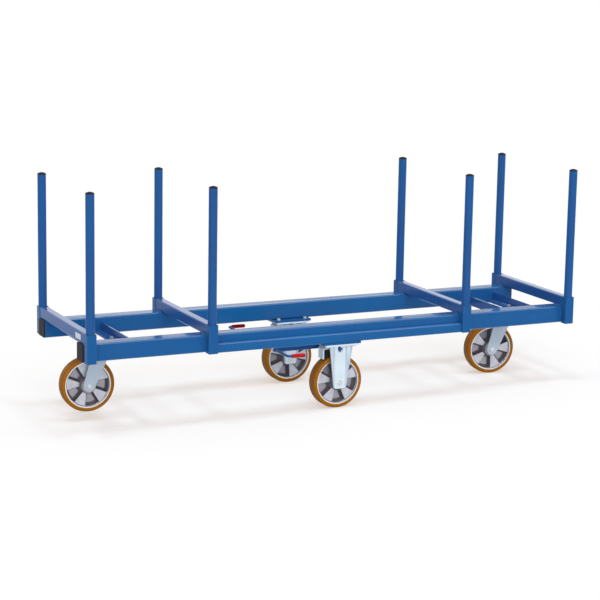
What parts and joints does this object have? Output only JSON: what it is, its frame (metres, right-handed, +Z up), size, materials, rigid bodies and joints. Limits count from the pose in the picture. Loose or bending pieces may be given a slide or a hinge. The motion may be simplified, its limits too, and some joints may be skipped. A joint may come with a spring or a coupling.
{
  "type": "long material cart",
  "caption": "Long flat cart for bars and boards: ladder frame with loose round side stakes, fixed braked centre castors and raised swivel end castors.",
  "frame": {"origin": "on the floor under the middle of the cart, at the centre wheels' lowest point", "axes": "+X along the rails, +Y from the front rail to the rear rail, +Z up"},
  "size_m": [2.5, 0.71, 1.0748],
  "materials": {
    "blue_paint": "gloss enamel",
    "stake_paint": "gloss enamel",
    "black_plastic": "moulded, satin",
    "zinc": "bright zinc plate",
    "cast_aluminium": "die cast",
    "bearing_steel": "ground steel",
    "bronze": "sintered bronze",
    "amber_tyre": "cast polyurethane, satin",
    "red_grip": "moulded, gloss",
    "brake_rubber": "moulded rubber"
  },
  "bodies": {
    "frame": {"rail_front": "blue_paint", "rail_rear": "blue_paint", "rail_end_plugs": "black_plastic", "cross_beam_left_end": "blue_paint", "cross_beam_left_inner": "blue_paint", "cross_beam_right_inner": "blue_paint", "cross_beam_right_end": "blue_paint", "stake_pockets_front": "blue_paint", "stake_pockets_rear": "blue_paint", "side_tubes": "blue_paint", "castor_carriers_left": "blue_paint", "castor_carriers_right": "blue_paint", "adaptor_plates": "blue_paint", "swivel_heads": "zinc", "fixed_fork_front": "zinc", "fixed_fork_rear": "zinc", "fixed_axles": "zinc", "castor_fasteners": "zinc", "brake_bushes": "bronze"},
    "left_swivel_fork": {"swivel_fork_left": "zinc", "swivel_axle_left": "zinc"},
    "left_wheel": {"wheel_rim_left": "cast_aluminium", "tyre_left": "amber_tyre", "wheel_bearings_left": "bearing_steel"},
    "right_swivel_fork": {"swivel_fork_right": "zinc", "swivel_axle_right": "zinc"},
    "right_wheel": {"wheel_rim_right": "cast_aluminium", "tyre_right": "amber_tyre", "wheel_bearings_right": "bearing_steel"},
    "front_wheel": {"wheel_rim_front": "cast_aluminium", "tyre_front": "amber_tyre", "wheel_bearings_front": "bearing_steel"},
    "front_brake": {"brake_lever_front": "blue_paint", "brake_grip_front": "red_grip", "brake_shoe_front": "zinc", "brake_pad_front": "brake_rubber"},
    "rear_wheel": {"wheel_rim_rear": "cast_aluminium", "tyre_rear": "amber_tyre", "wheel_bearings_rear": "bearing_steel"},
    "rear_brake": {"brake_lever_rear": "blue_paint", "brake_grip_rear": "red_grip", "brake_shoe_rear": "zinc", "brake_pad_rear": "brake_rubber"},
    "front_stake_1": {"stake_front_1": "stake_paint", "stake_cap_front_1": "black_plastic"},
    "front_stake_2": {"stake_front_2": "stake_paint", "stake_cap_front_2": "black_plastic"},
    "front_stake_3": {"stake_front_3": "stake_paint", "stake_cap_front_3": "black_plastic"},
    "front_stake_4": {"stake_front_4": "stake_paint", "stake_cap_front_4": "black_plastic"},
    "rear_stake_1": {"stake_rear_1": "stake_paint", "stake_cap_rear_1": "black_plastic"},
    "rear_stake_2": {"stake_rear_2": "stake_paint", "stake_cap_rear_2": "black_plastic"},
    "rear_stake_3": {"stake_rear_3": "stake_paint", "stake_cap_rear_3": "black_plastic"},
    "rear_stake_4": {"stake_rear_4": "stake_paint", "stake_cap_rear_4": "black_plastic"}
  },
  "joints": [
    {"name": "left_swivel", "type": "hinge", "parent": "frame", "child": "left_swivel_fork", "pos_m": [-1.056, 0, 0.3], "axis": [0, 0, 1], "continuous": true},
    {"name": "left_wheel_spin", "type": "hinge", "parent": "left_swivel_fork", "child": "left_wheel", "pos_m": [-1.12383, 0.00474, 0.145], "axis": [0.0698, 0.9976, 0], "continuous": true},
    {"name": "right_swivel", "type": "hinge", "parent": "frame", "child": "right_swivel_fork", "pos_m": [1.056, 0, 0.3], "axis": [0, 0, 1], "continuous": true},
    {"name": "right_wheel_spin", "type": "hinge", "parent": "right_swivel_fork", "child": "right_wheel", "pos_m": [0.98851, 0.00829, 0.145], "axis": [0.1219, 0.9925, 0], "continuous": true},
    {"name": "front_wheel_spin", "type": "hinge", "parent": "frame", "child": "front_wheel", "pos_m": [0, -0.27, 0.125], "axis": [0, 1, 0], "continuous": true},
    {"name": "front_brake_lever", "type": "hinge", "parent": "frame", "child": "front_brake", "pos_m": [0, -0.27, 0.284], "axis": [0, 1, 0], "range_deg": [-2.3, 4]},
    {"name": "rear_wheel_spin", "type": "hinge", "parent": "frame", "child": "rear_wheel", "pos_m": [0, 0.27, 0.125], "axis": [0, 1, 0], "continuous": true},
    {"name": "rear_brake_lever", "type": "hinge", "parent": "frame", "child": "rear_brake", "pos_m": [0, 0.27, 0.284], "axis": [0, 1, 0], "range_deg": [-2.3, 4]},
    {"name": "front_stake_1_lift", "type": "slide", "parent": "frame", "child": "front_stake_1", "axis": [0, 0, 1], "range_m": [0, 0.15]},
    {"name": "front_stake_2_lift", "type": "slide", "parent": "frame", "child": "front_stake_2", "axis": [0, 0, 1], "range_m": [0, 0.15]},
    {"name": "front_stake_3_lift", "type": "slide", "parent": "frame", "child": "front_stake_3", "axis": [0, 0, 1], "range_m": [0, 0.15]},
    {"name": "front_stake_4_lift", "type": "slide", "parent": "frame", "child": "front_stake_4", "axis": [0, 0, 1], "range_m": [0, 0.15]},
    {"name": "rear_stake_1_lift", "type": "slide", "parent": "frame", "child": "rear_stake_1", "axis": [0, 0, 1], "range_m": [0, 0.15]},
    {"name": "rear_stake_2_lift", "type": "slide", "parent": "frame", "child": "rear_stake_2", "axis": [0, 0, 1], "range_m": [0, 0.15]},
    {"name": "rear_stake_3_lift", "type": "slide", "parent": "frame", "child": "rear_stake_3", "axis": [0, 0, 1], "range_m": [0, 0.15]},
    {"name": "rear_stake_4_lift", "type": "slide", "parent": "frame", "child": "rear_stake_4", "axis": [0, 0, 1], "range_m": [0, 0.15]}
  ]
}
